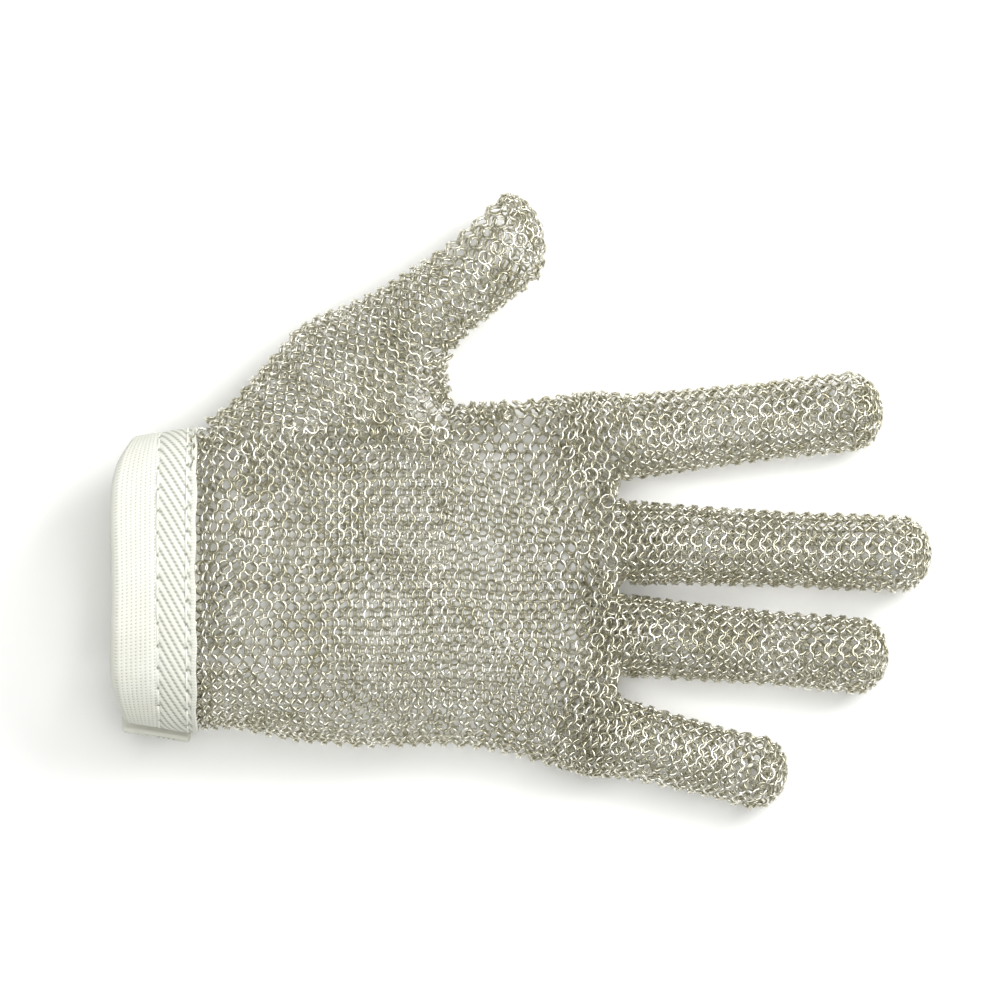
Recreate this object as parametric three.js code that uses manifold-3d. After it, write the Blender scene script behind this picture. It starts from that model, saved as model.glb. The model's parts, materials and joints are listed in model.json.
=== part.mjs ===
// Ring-mesh cut resistant glove for a left hand, bound at the wrist with herringbone tape.
// Millimetres. The glove lies on its back, holding the shape of a hand: +X runs from the wrist
// to the fingertips, +Y towards the thumb and +Z out of the palm.

import * as THREE from 'three';
import { mergeVertices } from 'three/addons/utils/BufferGeometryUtils.js';
import Module from 'manifold-3d';

const wasm = await Module();
wasm.setup();

// ---------------------------------------------------------------- driving dimensions

const WALL = 2.0;             // thickness of the ring mesh
const GAP = 0.3;              // gap between touching pieces
const ROUND = 2;              // exponent of an elliptical section
const PALM_SQUARE = 2.4;      // exponent of the palm's fuller section

// Wrist: the band of folded tape around the edge of the mesh.
const WRIST_Y = -19.85;
const WRIST_Z = 24.8;
const BAND_FRONT = -80;       // edge over the palm
const BAND_BACK = -101;       // folded edge
const BAND_HALF_WIDTH = 37.9; // half the band's outer width, at the front edge
const BAND_HALF_HEIGHT = 20;
const BAND_TAPER = 0.17;      // how much each half shrinks per millimetre towards the fold
const TAPE = 1.1;             // thickness of one ply
const FOLD_ROOM = 1.6;        // room in the fold beyond the edge of the mesh
const MESH_EDGE = BAND_BACK + TAPE + GAP + FOLD_ROOM;
const BAND_THICK = 2 * TAPE + 2 * GAP + WALL;

// Opening of the band and mesh, on the little-finger side of the back (angles about the wrist).
const SLIT_ANGLE = THREE.MathUtils.degToRad(240);
const SLIT_WIDTH = 3;
const SLIT_NARROW = 1;        // width at its far end
const SLIT_END = -62;
const SLIT_DEPTH = [-14, 10]; // inwards and outwards of the band's face

// Closing tab: its anchor is sewn to the band, and its free end carries the press stud.
const TAB_ANCHOR = THREE.MathUtils.degToRad(280);
const TAB_BEND = THREE.MathUtils.degToRad(266);
const TAB_FREE = THREE.MathUtils.degToRad(201);
const TAB_HALF_WIDTH = 8.5;
const TAB_THICK = 1.6;
const TAB_LIFT = 1.1;         // how far the tab stands off the band where it is sewn
const TAB_HINGE_GAP = 0.01;   // angle between the anchor and the tab
const TAB_X = (BAND_FRONT + BAND_BACK) / 2;
const BAR_TACK = [271, 274].map(THREE.MathUtils.degToRad);
const BAR_TACK_INSET = 2;     // from the sides of the tab

// Rows of stitching: their places, and how far they stop from the slit and the stud.
const STITCHES = { front: -82.3, centre: -89.4 };
const THREAD = 0.5;
const SLIT_CLEAR = 0.07;
const STUD_CLEAR = 0.25;

// Press stud: radii, and heights above the band's face.
const STUD_ANGLE = THREE.MathUtils.degToRad(220);
const STUD_LIFT = 4.2;        // how far the tab stands off at the stud
const STUD_LEVEL = 0.22;      // angle from the stud over which the tab runs level
const STUD_SIDES = 20;
const SHANK = 1.6;
const POST_BASE = 5;
const POST_NECK = 1.7;
const POST_HEAD = 2.1;
const RIVET = 4.2;
const RIVET_THICK = 0.8;
const RIVET_SET_BACK = 0.7;   // from the flat rivet to the curved inner face of the band
const SOCKET_BORE = 2.7;
const SOCKET = 4.8;
const TAB_FACE = 3.98;        // inner face of the tab
const TAB_TOP = 5.52;         // outer face of the tab
const CAP = 6.2;

// Palm sections: x, thumb-side edge, little-finger edge, lowest and highest point.
const PALM = [
  [-70, 16.5, -57.0, 3.6, 40.6],
  [-57, 16.5, -59.8, 1.0, 36.6],
  [-40, 17.0, -61.6, -0.7, 33.0],
  [-20, 18.2, -61.0, -0.8, 30.4],
  [-6, 23.4, -62.0, -0.8, 28.2],
  [8, 25.2, -65.6, -0.6, 25.4],
  [17, 26.2, -68.2, -0.2, 23.0],
  [23, 25.6, -66.4, 0.9, 21.4],
];

// Fingers: centre of the base hinge, direction, half width, half thickness, length beyond the
// base hinge, and the two other hinges as fractions of that length.
const FINGER_Z = 10.6;
const FINGER_ROOT = 20;       // how far a finger starts inside the palm
const FINGER_TIP = 0.8;       // length of the rounded end, as part of the half width
const HINGE_RISE = 0.5;       // height of the hinges above the middle, as part of half thickness
const FINGERS = {
  index: { x: 31, y: 16.1, turn: 6.4, half: 10.5, thick: 9.6, length: 58.4, knuckles: [0.42, 0.7] },
  middle: { x: 32.5, y: -10.9, turn: -2.4, half: 10.1, thick: 9.6, length: 68.6, knuckles: [0.42, 0.7] },
  ring: { x: 31, y: -34.1, turn: -5.0, half: 10.0, thick: 9.4, length: 59.6, knuckles: [0.42, 0.7] },
  little: { x: 27.5, y: -59.8, turn: -14.2, half: 9.6, thick: 8.8, length: 38.9, knuckles: [0.4, 0.68] },
};
const BEND = [60, 70, 42];    // degrees at the base, middle and end hinge of a finger

// Notches at the hinges. They open from the hinge line to a height above it.
const NOTCH_HIGH = 8.5;
const NOTCH_SPARE = 4;        // degrees wider than the bend
const BELOW = 30;             // reach of a cutting block below the hinges
const BEYOND = 120;           // and past the fingertip

// Thumb sections: outer edge, inner edge, mid-height and half thickness.
const THUMB = [
  [-79, 6, -4, 6, 20.5, 13.5],
  [-79, 19.2, -12, 23.6, 20.5, 13.8],
  [-71.5, 26, -18.2, 26.6, 20.0, 13.8],
  [-62.0, 36.2, -20.2, 30.6, 19.4, 13.4],
  [-51, 45.4, -19.4, 34.2, 18.8, 12.6],
  [-38.5, 51.6, -17.4, 37.2, 18.2, 11.6],
  [-26.4, 57.8, -13.6, 40.4, 17.8, 10.6],
  [-16.0, 65.8, -3.7, 48.1, 17.5, 10.2],
  [-11.2, 70.2, 1.2, 51.6, 17.5, 10.1],
  [-6.4, 74.9, 4.4, 55.0, 17.5, 9.9],
];
const THUMB_TURN = 36.7;      // direction of the thumb, degrees above +X
const THUMB_TIP = 7.2;        // length of the rounded end
const THUMB_HINGES = [[-30, 42.5], [-11, 56.6]];
const THUMB_HINGE_Z = 22.4;
const THUMB_BLOCK = 31;       // width of the blocks that part its sleeves
const THUMB_BEND = [40, 60];

// Seams of the mesh panels, in plan and from the side.
const THUMB_SEAM = [[-104, 15.8], [-20, 17.4], [-9, 33]];
const SIDE_SEAM = [[-104, 24.8], [-78, 24.4], [-57, 18.8], [-20, 14.8], [40, 10.6]];

// The blocks that part the panels reach past the glove on every side.
const REACH = 140;
const PLAN_LOW = -10;
const PLAN_HIGH = 80;

const HAND_SIDES = 40;
const THUMB_SIDES = 24;
const FINGER_SIDES = 16;
const TIP_STEPS = 4;

// ---------------------------------------------------------------- materials

const steelMesh = (shade) => new THREE.MeshStandardMaterial({
  color: shade, metalness: 0.9, roughness: 0.35,
});
const tapeCloth = new THREE.MeshStandardMaterial({ color: '#f4f4ee', metalness: 0, roughness: 0.9 });
const sewingThread = new THREE.MeshStandardMaterial({ color: '#fbfbf7', metalness: 0, roughness: 0.8 });
const nickel = new THREE.MeshStandardMaterial({ color: '#c9c9c4', metalness: 1, roughness: 0.25 });

// ---------------------------------------------------------------- solids

// Turns a three.js geometry into a manifold solid.
function solid(geometry) {
  const bare = geometry.clone();
  bare.deleteAttribute('normal');
  bare.deleteAttribute('uv');
  const merged = mergeVertices(bare, 1e-4);
  const corners = [];
  const index = merged.index.array;
  for (let i = 0; i < index.length; i += 3) {
    const [a, b, c] = [index[i], index[i + 1], index[i + 2]];
    if (a !== b && b !== c && c !== a) corners.push(a, b, c);
  }
  return new wasm.Manifold(new wasm.Mesh({
    numProp: 3,
    vertProperties: merged.attributes.position.array,
    triVerts: new Uint32Array(corners),
  }));
}

// Turns a manifold solid into a named mesh.
function piece(name, body, material) {
  const made = body.getMesh();
  const geometry = new THREE.BufferGeometry();
  geometry.setAttribute('position', new THREE.BufferAttribute(made.vertProperties, 3));
  geometry.setIndex(new THREE.BufferAttribute(made.triVerts, 1));
  geometry.computeVertexNormals();
  const mesh = new THREE.Mesh(geometry, material);
  mesh.name = name;
  return mesh;
}

// A closed body through a row of rounded sections. Each section has a centre, a half-width
// vector, a half height along Z and the exponent of its outline.
function loft(sections, sides) {
  const steps = sections.length - 1;
  const geometry = new THREE.CylinderGeometry(1, 1, 1, sides, steps);
  const place = geometry.attributes.position;
  const point = new THREE.Vector3();
  for (let i = 0; i < place.count; i += 1) {
    point.fromBufferAttribute(place, i);
    const section = sections[Math.round((0.5 - point.y) * steps)];
    const angle = Math.atan2(point.x, point.z);
    const reach = Math.min(1, Math.hypot(point.x, point.z));
    const bend = 2 / (section.power ?? ROUND);
    const across = Math.sign(Math.sin(angle)) * Math.abs(Math.sin(angle)) ** bend;
    const up = Math.sign(Math.cos(angle)) * Math.abs(Math.cos(angle)) ** bend;
    point.copy(section.centre).addScaledVector(section.half, across * reach);
    point.z += section.height * up * reach;
    place.setXYZ(i, point.x, point.y, point.z);
  }
  return solid(geometry);
}

// The same section, drawn in by the thickness of the mesh.
function inset({ centre, half, height, power }, by) {
  return {
    power,
    centre: centre.clone(),
    half: half.clone().setLength(Math.max(half.length() - by, 0.001)),
    height: Math.max(height - by, 0.001),
  };
}

// Adds the rounded end of a finger: sections that close along a quarter of an ellipse.
function roundEnd(sections, direction, length, steps) {
  const last = sections[sections.length - 1];
  const closing = [];
  for (let i = 1; i <= steps; i += 1) {
    const turn = (i / steps) * (Math.PI / 2);
    const shrink = i === steps ? 0 : Math.cos(turn);
    closing.push({
      centre: last.centre.clone().addScaledVector(direction, length * Math.sin(turn)),
      half: last.half.clone().multiplyScalar(shrink),
      height: last.height * shrink,
    });
  }
  return [...sections, ...closing];
}

// A block with the given side outline in the plane of `along` and +Z, centred on `origin`.
function block(outline, origin, along, width) {
  const shape = new THREE.Shape(outline.map(([u, z]) => new THREE.Vector2(u, z)));
  const geometry = new THREE.ExtrudeGeometry(shape, { depth: width, bevelEnabled: false });
  const side = new THREE.Vector3(0, 0, 1).cross(along);
  const frame = new THREE.Matrix4().makeBasis(along, new THREE.Vector3(0, 0, 1), side.clone().negate());
  frame.setPosition(origin.clone().addScaledVector(side, width / 2));
  geometry.applyMatrix4(frame);
  return solid(geometry);
}

// A vertical block with the given outline in plan.
function planBlock(outline, low, high) {
  const shape = new THREE.Shape(outline.map(([x, y]) => new THREE.Vector2(x, y)));
  const geometry = new THREE.ExtrudeGeometry(shape, { depth: high - low, bevelEnabled: false });
  geometry.translate(0, 0, low);
  return solid(geometry);
}

const direction = (degrees) => {
  const turn = THREE.MathUtils.degToRad(degrees);
  return new THREE.Vector3(Math.cos(turn), Math.sin(turn), 0);
};

// ---------------------------------------------------------------- wrist geometry

// A point around the wrist at a distance outside the band's outer face.
const bandShrink = (x) => BAND_TAPER * (BAND_FRONT - x);
function aroundWrist(x, angle, offset) {
  const shrink = bandShrink(x);
  return new THREE.Vector3(
    x,
    WRIST_Y + (BAND_HALF_WIDTH - shrink + offset) * Math.cos(angle),
    WRIST_Z + (BAND_HALF_HEIGHT - shrink / 2 + offset) * Math.sin(angle),
  );
}

// A section of the wrist at a distance outside the band's outer face.
function wristSection(x, offset) {
  const shrink = bandShrink(x);
  return {
    centre: new THREE.Vector3(x, WRIST_Y, WRIST_Z),
    half: new THREE.Vector3(0, BAND_HALF_WIDTH - shrink + offset, 0),
    height: BAND_HALF_HEIGHT - shrink / 2 + offset,
  };
}

// ---------------------------------------------------------------- hand shell

const meshOffset = -(TAPE + GAP);
const palmSections = PALM.map(([x, thumbSide, littleSide, low, high]) => ({
  power: PALM_SQUARE,
  centre: new THREE.Vector3(x, (thumbSide + littleSide) / 2, (low + high) / 2),
  half: new THREE.Vector3(0, (thumbSide - littleSide) / 2, 0),
  height: (high - low) / 2,
}));
const cuffSections = [MESH_EDGE, (MESH_EDGE + BAND_FRONT) / 2, BAND_FRONT + GAP]
  .map((x) => wristSection(x, meshOffset));
const handSections = [...cuffSections, ...palmSections];

const thumbAlong = direction(THUMB_TURN);
const thumbSections = THUMB.map(([outerX, outerY, innerX, innerY, z, height]) => ({
  centre: new THREE.Vector3((outerX + innerX) / 2, (outerY + innerY) / 2, z),
  half: new THREE.Vector3((outerX - innerX) / 2, (outerY - innerY) / 2, 0),
  height,
}));

// A finger starts inside the palm, is a little fuller at its base and waisted at its middle.
function fingerSections({ x, y, turn, half, thick, length }) {
  const along = direction(turn);
  const across = new THREE.Vector3(-along.y, along.x, 0);
  const base = new THREE.Vector3(x, y, FINGER_Z);
  const straight = length - half * FINGER_TIP;
  const stations = [[-FINGER_ROOT, 1.06], [0, 1.04], [straight * 0.55, 0.97], [straight * 0.9, 1]];
  return [...stations, [straight, 0.985]].map(([distance, fullness]) => ({
    centre: base.clone().addScaledVector(along, distance),
    half: across.clone().multiplyScalar(half * fullness),
    height: thick,
  }));
}

// Outside and inside of one finger.
function fingerSolids(finger) {
  const along = direction(finger.turn);
  const sections = fingerSections(finger);
  const hollow = sections.map((section) => inset(section, WALL));
  const tip = finger.half * FINGER_TIP;
  return {
    outer: loft(roundEnd(sections, along, tip, TIP_STEPS), FINGER_SIDES),
    inner: loft(roundEnd(hollow, along, tip - WALL, TIP_STEPS), FINGER_SIDES),
  };
}

const fingerBodies = Object.fromEntries(
  Object.entries(FINGERS).map(([name, finger]) => [name, fingerSolids(finger)]),
);

const thumbHollow = thumbSections.map((section) => inset(section, WALL));
const thumbBody = {
  outer: loft(roundEnd(thumbSections, thumbAlong, THUMB_TIP, TIP_STEPS), THUMB_SIDES),
  inner: loft(roundEnd(thumbHollow, thumbAlong, THUMB_TIP - WALL, TIP_STEPS), THUMB_SIDES),
};

// The hollow runs out through the wrist, so its first section lies beyond the mesh's edge.
const hollowSections = handSections.map((section) => inset(section, WALL));
const mouth = hollowSections[0];
hollowSections.unshift({ ...mouth, centre: mouth.centre.clone().setX(BAND_BACK - 5) });
hollowSections[hollowSections.length - 1].centre.x -= WALL;

// ---------------------------------------------------------------- finger hinges

// Outline of a block between two hinges. Each hinge has its place along the finger, and half
// of its notch, which opens towards the palm side.
function hingeOutline(from, to) {
  const near = [
    [from.at + GAP / 2 + NOTCH_HIGH * Math.tan(from.half), NOTCH_HIGH],
    [from.at + GAP / 2, 0],
    [from.at + GAP / 2, -BELOW],
  ];
  const far = to
    ? [
      [to.at - GAP / 2, -BELOW],
      [to.at - GAP / 2, 0],
      [to.at - GAP / 2 - NOTCH_HIGH * Math.tan(to.half), NOTCH_HIGH],
    ]
    : [[BEYOND, -BELOW], [BEYOND, NOTCH_HIGH]];
  return [...near, ...far];
}
const notchHalf = (bend) => THREE.MathUtils.degToRad((bend + NOTCH_SPARE) / 2);

// Everything of a finger beyond its base hinge, taken from the hand.
function beyondHinge(hinge, origin, along, width) {
  const outline = [
    [hinge.at - GAP / 2 - NOTCH_HIGH * Math.tan(hinge.half), NOTCH_HIGH],
    [hinge.at - GAP / 2, 0],
    [hinge.at - GAP / 2, -BELOW],
    [BEYOND, -BELOW],
    [BEYOND, NOTCH_HIGH],
  ];
  return block(outline, origin, along, width);
}

const parts = [];
const removed = [];           // the space of the fingers and thumb, cut out of the hand's shell

for (const [name, finger] of Object.entries(FINGERS)) {
  const along = direction(finger.turn);
  const origin = new THREE.Vector3(finger.x, finger.y, FINGER_Z + HINGE_RISE * finger.thick);
  const hinges = [0, ...finger.knuckles].map((part, i) => ({
    at: part * finger.length,
    half: notchHalf(BEND[i]),
  }));
  const width = 2 * finger.half + 2;
  const { outer, inner } = fingerBodies[name];
  const sleeve = outer.subtract(inner);
  ['proximal', 'middle', 'distal'].forEach((segment, i) => {
    const cut = block(hingeOutline(hinges[i], hinges[i + 1]), origin, along, width);
    const shade = ['#a9aaa2', '#b6b7ae', '#c2c3ba'][i];
    parts.push(piece(`${name}_${segment}_mesh`, sleeve.intersect(cut), steelMesh(shade)));
  });
  removed.push(beyondHinge(hinges[0], origin, along, width));
}

// ---------------------------------------------------------------- thumb

const thumbSleeve = thumbBody.outer.subtract(thumbBody.inner);
const [thumbOrigin, thumbMiddle] = THUMB_HINGES.map(([x, y]) => new THREE.Vector3(x, y, THUMB_HINGE_Z));
const thumbHinges = [
  { at: 0, half: notchHalf(THUMB_BEND[0]) },
  { at: thumbMiddle.sub(thumbOrigin).dot(thumbAlong), half: notchHalf(THUMB_BEND[1]) },
];
['proximal', 'distal'].forEach((segment, i) => {
  const cut = block(hingeOutline(thumbHinges[i], thumbHinges[i + 1]), thumbOrigin, thumbAlong, THUMB_BLOCK);
  const shade = ['#b0b1a8', '#bebfb6'][i];
  parts.push(piece(`thumb_${segment}_mesh`, thumbSleeve.intersect(cut), steelMesh(shade)));
});
removed.push(beyondHinge(thumbHinges[0], thumbOrigin, thumbAlong, THUMB_BLOCK));

// ---------------------------------------------------------------- press stud

// Direction straight out of the band's face.
function wristNormal(x, angle) {
  const forward = aroundWrist(x + 1, angle, 0).sub(aroundWrist(x - 1, angle, 0));
  const around = aroundWrist(x, angle + 0.01, 0).sub(aroundWrist(x, angle - 0.01, 0));
  return around.cross(forward).normalize();
}

// A turned part on the stud's axis. The profile holds a radius and a height above the band.
const studPlace = aroundWrist(TAB_X, STUD_ANGLE, 0);
const studOut = wristNormal(TAB_X, STUD_ANGLE);
function turned(profile) {
  const geometry = new THREE.LatheGeometry(profile.map(([r, h]) => new THREE.Vector2(r, h)), STUD_SIDES);
  geometry.applyQuaternion(new THREE.Quaternion().setFromUnitVectors(new THREE.Vector3(0, 1, 0), studOut));
  geometry.translate(studPlace.x, studPlace.y, studPlace.z);
  return solid(geometry);
}

const bore = turned([
  [0, -BAND_THICK - 2], [SHANK + GAP, -BAND_THICK - 2], [SHANK + GAP, 1], [0, 1],
]);

// Post: a base on the band, a shank through it, and a round head that snaps into the socket.
const studPost = turned([
  [0, -BAND_THICK + 0.2], [SHANK, -BAND_THICK + 0.2], [SHANK, 0.4], [POST_BASE, 0.4],
  [POST_BASE, 1.2], [POST_NECK, 1.4], [POST_NECK, 2.0], [POST_HEAD, 2.5], [POST_HEAD - 0.2, 3.0],
  [0, 3.2],
]);
const rivetFace = -BAND_THICK - RIVET_SET_BACK;
const rivet = turned([
  [0, rivetFace - RIVET_THICK], [RIVET, rivetFace - RIVET_THICK], [RIVET, rivetFace], [0, rivetFace],
]);

// Socket under the tab, open towards the post, and the cap on the outside, riveted through.
const capFace = TAB_TOP + GAP;
const socketTop = TAB_FACE - 0.78;
const socket = turned([
  [SOCKET_BORE, 1.7], [SOCKET - 0.5, 1.7], [SOCKET, 2.4], [SOCKET, socketTop],
  [SOCKET_BORE, socketTop], [SOCKET_BORE, 1.7],
]);
const cap = turned([
  [0, TAB_FACE - 0.1], [SHANK, TAB_FACE - 0.1], [SHANK, capFace], [CAP, capFace], [CAP, capFace + 0.6],
  [0.75 * CAP, capFace + 1.4], [0, capFace + 1.8],
]);
const capBore = turned([
  [0, TAB_FACE - 1], [SHANK + GAP, TAB_FACE - 1], [SHANK + GAP, TAB_TOP + 1], [0, TAB_TOP + 1],
]);

// ---------------------------------------------------------------- palm, back and thumb base

let outside = loft(handSections, HAND_SIDES).add(thumbBody.outer);
let inside = loft(hollowSections, HAND_SIDES).add(thumbBody.inner);
for (const { outer, inner } of Object.values(fingerBodies)) {
  outside = outside.add(outer);
  inside = inside.add(inner);
}
let shell = outside.subtract(inside);
for (const cut of removed) shell = shell.subtract(cut);

// The back of the hand is flat where the glove lies on a table.
const plan = [[-REACH, -REACH], [REACH, -REACH], [REACH, REACH], [-REACH, REACH]];
shell = shell.intersect(planBlock(plan, 0, PLAN_HIGH));

// Slit through the mesh, under the closing tab, widest at the wrist.
const slitCentre = aroundWrist(BAND_FRONT, SLIT_ANGLE, 0);
const slitOut = new THREE.Vector3(0, Math.cos(SLIT_ANGLE), Math.sin(SLIT_ANGLE));
function slitBlock(from, to, widthFrom, widthTo) {
  const shape = new THREE.Shape([
    new THREE.Vector2(from, -widthFrom / 2),
    new THREE.Vector2(to, -widthTo / 2),
    new THREE.Vector2(to, widthTo / 2),
    new THREE.Vector2(from, widthFrom / 2),
  ]);
  const depth = SLIT_DEPTH[1] - SLIT_DEPTH[0];
  const geometry = new THREE.ExtrudeGeometry(shape, { depth, bevelEnabled: false });
  const across = slitOut.clone().cross(new THREE.Vector3(1, 0, 0));
  const frame = new THREE.Matrix4().makeBasis(new THREE.Vector3(1, 0, 0), across, slitOut);
  frame.setPosition(new THREE.Vector3(0, slitCentre.y, slitCentre.z).addScaledVector(slitOut, SLIT_DEPTH[0]));
  geometry.applyMatrix4(frame);
  return solid(geometry);
}
shell = shell.subtract(slitBlock(BAND_BACK - 4, SLIT_END, SLIT_WIDTH, SLIT_NARROW)).subtract(bore);

// Panels: the seams are blocks that keep the gap between neighbours.
const seam = (points, shift) => points.map(([x, y]) => [x, y + shift]);
const thumbSide = planBlock(
  [...seam(THUMB_SEAM, GAP / 2), [10, REACH], [-REACH, REACH], [-REACH, THUMB_SEAM[0][1] + GAP / 2]],
  PLAN_LOW,
  PLAN_HIGH,
);
const palmSide = planBlock(
  [...seam(THUMB_SEAM, -GAP / 2), [10, REACH], [REACH, REACH], [REACH, -REACH], [-REACH, -REACH],
    [-REACH, THUMB_SEAM[0][1] - GAP / 2]],
  PLAN_LOW,
  PLAN_HIGH,
);
const middle = new THREE.Vector3();
const alongX = new THREE.Vector3(1, 0, 0);
const aboveSeam = [...seam(SIDE_SEAM, GAP / 2), [60, PLAN_HIGH], [-BEYOND, PLAN_HIGH]];
const belowSeam = [...seam(SIDE_SEAM, -GAP / 2), [60, PLAN_LOW], [-BEYOND, PLAN_LOW]];
const upper = block(aboveSeam, middle, alongX, 2 * REACH);
const lower = block(belowSeam, middle, alongX, 2 * REACH);
const body = shell.intersect(palmSide);
parts.push(piece('palm_mesh', body.intersect(upper), steelMesh('#9fa098')));
parts.push(piece('back_mesh', body.intersect(lower), steelMesh('#8f9088')));
parts.push(piece('thumb_base_mesh', shell.intersect(thumbSide), steelMesh('#a5a69d')));

// ---------------------------------------------------------------- wrist band

// The tape is folded over the edge of the mesh: an outer ply, the fold, and an inner ply.
const bandOuter = loft([BAND_BACK, BAND_FRONT].map((x) => wristSection(x, 0)), HAND_SIDES);
const bandPocket = loft([MESH_EDGE - GAP, BAND_FRONT + 2].map((x) => wristSection(x, -TAPE)), HAND_SIDES);
const innerOffset = -(TAPE + GAP + WALL + GAP);
const plyOuter = loft([MESH_EDGE - 2, BAND_FRONT].map((x) => wristSection(x, innerOffset)), HAND_SIDES);
const plyInner = loft(
  [BAND_BACK - 4, BAND_FRONT + 4].map((x) => wristSection(x, innerOffset - TAPE)),
  HAND_SIDES,
);
const band = bandOuter.subtract(bandPocket).add(plyOuter).subtract(plyInner)
  .subtract(slitBlock(BAND_BACK - 4, BAND_FRONT + 4, SLIT_WIDTH, SLIT_WIDTH))
  .subtract(bore);
parts.push(piece('cuff_tape', band, tapeCloth));

// A strip laid around the wrist: two edges along X, two angles, and the lift of its inner face
// above the band as a function of the angle.
function strip(fromX, toX, fromAngle, toAngle, lift, thickness, steps) {
  const geometry = new THREE.BoxGeometry(1, 1, 1, 2, steps, 1);
  const place = geometry.attributes.position;
  for (let i = 0; i < place.count; i += 1) {
    const x = THREE.MathUtils.lerp(fromX, toX, place.getX(i) + 0.5);
    const angle = THREE.MathUtils.lerp(toAngle, fromAngle, place.getY(i) + 0.5);
    const offset = lift(angle) + thickness * (place.getZ(i) + 0.5);
    const point = aroundWrist(x, angle, offset);
    place.setXYZ(i, point.x, point.y, point.z);
  }
  return solid(geometry);
}

// Rows of stitching that close the band, each one thread from the slit round to the press stud.
for (const [row, x] of Object.entries(STITCHES)) {
  const half = THREAD / 2;
  const thread = strip(
    x - half,
    x + half,
    SLIT_ANGLE - 2 * Math.PI + SLIT_CLEAR,
    STUD_ANGLE - STUD_CLEAR,
    () => GAP,
    THREAD,
    HAND_SIDES,
  );
  parts.push(piece(`cuff_stitching_${row}`, thread, sewingThread));
}

// ---------------------------------------------------------------- closing tab

// It climbs from the anchor to the height of the press stud, and runs level around the stud.
const tabLift = (angle) => THREE.MathUtils.mapLinear(
  Math.max(angle, STUD_ANGLE + STUD_LEVEL),
  TAB_BEND,
  STUD_ANGLE + STUD_LEVEL,
  TAB_LIFT,
  STUD_LIFT,
);
const tabFrom = TAB_X - TAB_HALF_WIDTH;
const tabTo = TAB_X + TAB_HALF_WIDTH;
const anchorFrom = TAB_BEND + TAB_HINGE_GAP;
const anchor = strip(tabFrom, tabTo, anchorFrom, TAB_ANCHOR, () => TAB_LIFT, TAB_THICK, 4);
parts.push(piece('tab_anchor', anchor, tapeCloth));
const barTack = strip(
  tabFrom + BAR_TACK_INSET,
  tabTo - BAR_TACK_INSET,
  ...BAR_TACK,
  () => TAB_LIFT + TAB_THICK + GAP,
  THREAD,
  2,
);
parts.push(piece('tab_bar_tack', barTack, sewingThread));
const tab = strip(tabFrom, tabTo, TAB_FREE, TAB_BEND, tabLift, TAB_THICK, 14).subtract(capBore);
parts.push(piece('closing_tab', tab, tapeCloth));
parts.push(piece('stud_cap', cap, nickel));
parts.push(piece('stud_socket', socket, nickel));
parts.push(piece('stud_post', studPost, nickel));
parts.push(piece('stud_rivet', rivet, nickel));

// ---------------------------------------------------------------- export

// The origin is the middle of the glove's length and width, on the surface it lies on.
const glove = new THREE.Group();
for (const part of parts) glove.add(part);
const extent = new THREE.Box3().setFromObject(glove);
const middleOfGlove = extent.getCenter(new THREE.Vector3());
glove.position.set(-middleOfGlove.x, -middleOfGlove.y, -extent.min.z);
export default glove;
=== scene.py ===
"""Ring-mesh cut resistant glove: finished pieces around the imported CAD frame.

Lengths are millimetres until a mesh is made. +X runs to the fingertips, +Y to the thumb and +Z
out of the palm.
"""
import json
import math

import bpy
import numpy as np
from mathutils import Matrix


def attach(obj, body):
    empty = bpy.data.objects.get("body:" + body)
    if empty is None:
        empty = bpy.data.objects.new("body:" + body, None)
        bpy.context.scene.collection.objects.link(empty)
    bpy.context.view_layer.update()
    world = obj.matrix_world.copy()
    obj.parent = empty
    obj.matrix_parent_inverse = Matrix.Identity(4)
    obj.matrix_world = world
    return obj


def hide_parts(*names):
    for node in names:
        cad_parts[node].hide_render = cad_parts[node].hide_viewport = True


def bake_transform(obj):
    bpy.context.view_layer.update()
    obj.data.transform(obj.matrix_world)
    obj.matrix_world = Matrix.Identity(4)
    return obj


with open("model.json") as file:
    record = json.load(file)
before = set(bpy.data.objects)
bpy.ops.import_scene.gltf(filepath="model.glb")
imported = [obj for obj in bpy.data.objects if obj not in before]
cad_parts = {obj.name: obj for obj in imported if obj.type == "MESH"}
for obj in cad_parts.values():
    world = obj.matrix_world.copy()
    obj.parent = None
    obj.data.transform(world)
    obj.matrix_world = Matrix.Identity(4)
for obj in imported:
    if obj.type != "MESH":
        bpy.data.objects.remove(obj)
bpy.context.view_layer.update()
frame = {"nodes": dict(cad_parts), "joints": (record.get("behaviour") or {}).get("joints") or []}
MM = 0.001
rng = np.random.default_rng(41)


# ---------------------------------------------------------------- camera
# A long lens straight above the open palm, with the fingers to the right and the thumb up.
# The far viewpoint keeps the glove's outline free of perspective.
VIEW_WIDTH = 246.5
VIEW_CENTRE = (-5.8, 0.3)
GLOVE_MIDDLE_Z = 14
LENS = 400
SENSOR = 36

camera_data = bpy.data.cameras.new("camera")
camera_data.lens = LENS
camera_data.sensor_width = SENSOR
camera = bpy.data.objects.new("camera", camera_data)
camera_distance = VIEW_WIDTH * LENS / SENSOR
camera.location = (VIEW_CENTRE[0] * MM, VIEW_CENTRE[1] * MM, (GLOVE_MIDDLE_Z + camera_distance) * MM)
camera_data.clip_end = 10
bpy.context.collection.objects.link(camera)
bpy.context.scene.camera = camera


# ---------------------------------------------------------------- studio
# A pale table, one large soft light over the palm and a harder one from beyond the thumb. The
# surroundings are a darker grey, so that each wire has a bright line and a dark edge.
def linear(hex_colour):
    """An sRGB hex colour as linear RGBA."""
    parts = [int(hex_colour[i:i + 2], 16) / 255 for i in (1, 3, 5)]
    return tuple(p / 12.92 if p <= 0.04045 else ((p + 0.055) / 1.055) ** 2.4 for p in parts) + (1,)


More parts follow.
